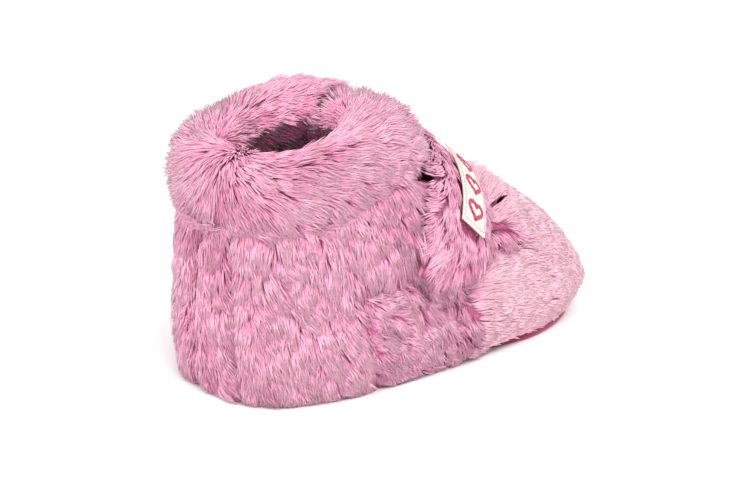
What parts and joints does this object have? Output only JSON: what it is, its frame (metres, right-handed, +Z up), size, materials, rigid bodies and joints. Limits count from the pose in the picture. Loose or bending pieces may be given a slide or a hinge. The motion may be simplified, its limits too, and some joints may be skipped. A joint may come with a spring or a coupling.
{
  "type": "baby bootie",
  "caption": "Soft plush baby bootie with a rolled ankle cuff, a wide hook-and-loop instep strap with a woven label, and a thin suede sole.",
  "frame": {"origin": "bottom centre of the bounding box, on the ground under the middle of the bootie", "axes": "+X to the toe, +Y to the inner side of the right foot, +Z up; the strap's free end is on the -Y side"},
  "size_m": [0.1273, 0.0707, 0.076],
  "materials": {
    "outer_plush": "long soft pink plush pile",
    "lining_plush": "deep pink plush pile",
    "sole_suede": "raspberry suede",
    "sole_foam": "white soft foam",
    "cotton_backing": "plain woven pink cotton",
    "closure_tape": "pink hook and loop tape",
    "woven_label": "cream woven label cloth"
  },
  "bodies": {
    "bootie": {"outsole": "sole_suede", "sole_foam": "sole_foam", "insole": "lining_plush", "vamp_panel": "outer_plush", "vamp_lining": "lining_plush", "side_right_panel": "outer_plush", "side_right_lining": "lining_plush", "side_left_panel": "outer_plush", "side_left_lining": "lining_plush", "heel_panel": "outer_plush", "heel_lining": "lining_plush", "cuff": "outer_plush", "strap_root": "outer_plush", "loop_patch": "closure_tape"},
    "tongue": {"tongue": "outer_plush"},
    "strap_band": {"strap_band": "outer_plush", "strap_band_backing": "cotton_backing"},
    "strap_tab": {"strap_tab": "outer_plush", "strap_tab_backing": "cotton_backing", "hook_patch": "closure_tape", "label": "woven_label"}
  },
  "joints": [
    {"name": "strap_open", "type": "hinge", "parent": "bootie", "child": "strap_band", "pos_m": [0.00152, 0.03321, 0.03905], "axis": [-0.7431, 0, 0.6691], "range_deg": [0, 100]},
    {"name": "strap_peel", "type": "hinge", "parent": "strap_band", "child": "strap_tab", "pos_m": [0.01335, -0.006, 0.05727], "axis": [-0.7431, 0, 0.6691], "range_deg": [0, 95]},
    {"name": "tongue_fold", "type": "hinge", "parent": "bootie", "child": "tongue", "pos_m": [0.038, 0, 0.0413], "axis": [0, 1, 0], "range_deg": [0, 50]}
  ],
  "couplings": [
    {"joint": "tongue_fold", "follows": "strap_open", "ratio": 0.5}
  ]
}
